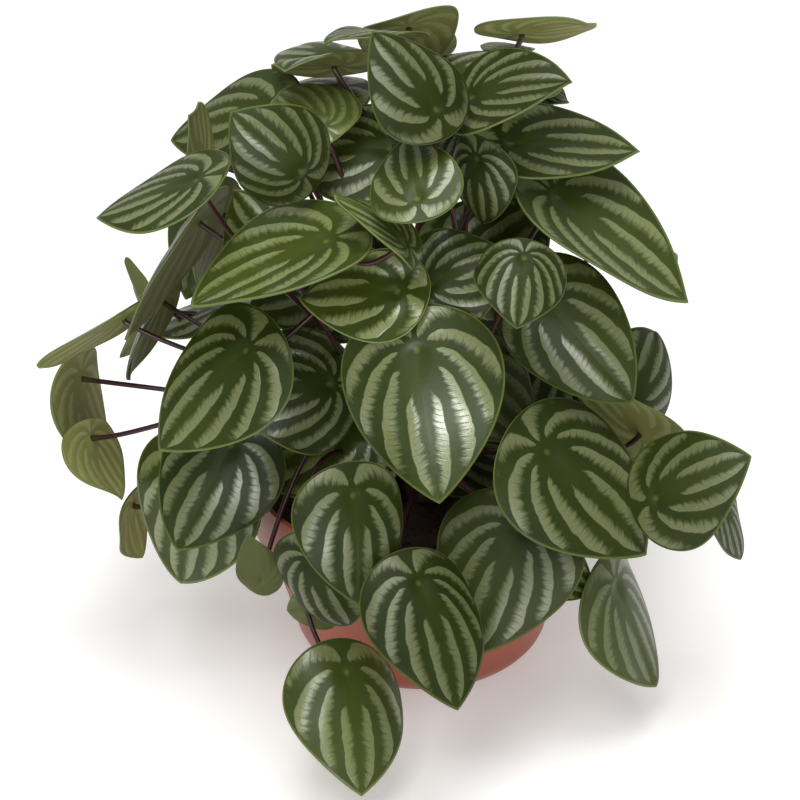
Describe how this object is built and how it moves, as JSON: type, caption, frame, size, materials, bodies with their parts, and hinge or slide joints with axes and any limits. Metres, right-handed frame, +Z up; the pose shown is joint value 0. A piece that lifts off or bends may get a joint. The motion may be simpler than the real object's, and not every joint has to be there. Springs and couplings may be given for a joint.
{
  "type": "potted peperomia",
  "caption": "Bushy watermelon peperomia, its striped shield-shaped leaves on long dark petioles, in a round terracotta-coloured plastic pot with a deep rim.",
  "frame": {"origin": "the middle of the pot's base, on the surface it stands on", "axes": "+Z up; -Y towards the side of the plant that is meant to be seen; +X to that side's right"},
  "size_m": [0.2747, 0.2718, 0.276],
  "materials": {
    "pot": "satin",
    "potting_mix": "matte",
    "crown": "matte",
    "leaf": "satin"
  },
  "bodies": {
    "root": {"pot": "pot", "potting_mix": "potting_mix", "crown": "crown", "leaf_01": "leaf", "leaf_02": "leaf", "leaf_03": "leaf", "leaf_04": "leaf", "leaf_05": "leaf", "leaf_06": "leaf", "leaf_07": "leaf", "leaf_08": "leaf", "leaf_09": "leaf", "leaf_10": "leaf", "leaf_11": "leaf", "leaf_12": "leaf", "leaf_13": "leaf", "leaf_14": "leaf", "leaf_15": "leaf", "leaf_16": "leaf", "leaf_17": "leaf", "leaf_18": "leaf", "leaf_19": "leaf", "leaf_20": "leaf", "leaf_21": "leaf", "leaf_22": "leaf", "leaf_23": "leaf", "leaf_24": "leaf", "leaf_25": "leaf", "leaf_26": "leaf", "leaf_27": "leaf", "leaf_28": "leaf", "leaf_29": "leaf", "leaf_30": "leaf", "leaf_31": "leaf", "leaf_32": "leaf", "leaf_33": "leaf", "leaf_34": "leaf", "leaf_35": "leaf", "leaf_36": "leaf", "leaf_37": "leaf", "leaf_38": "leaf", "leaf_39": "leaf", "leaf_40": "leaf", "leaf_41": "leaf", "leaf_42": "leaf", "leaf_43": "leaf", "leaf_44": "leaf", "leaf_45": "leaf", "leaf_46": "leaf", "leaf_47": "leaf", "leaf_48": "leaf", "leaf_49": "leaf", "leaf_50": "leaf", "leaf_51": "leaf", "leaf_52": "leaf", "leaf_53": "leaf", "leaf_54": "leaf", "leaf_55": "leaf", "leaf_56": "leaf", "leaf_57": "leaf"}
  },
  "joints": []
}
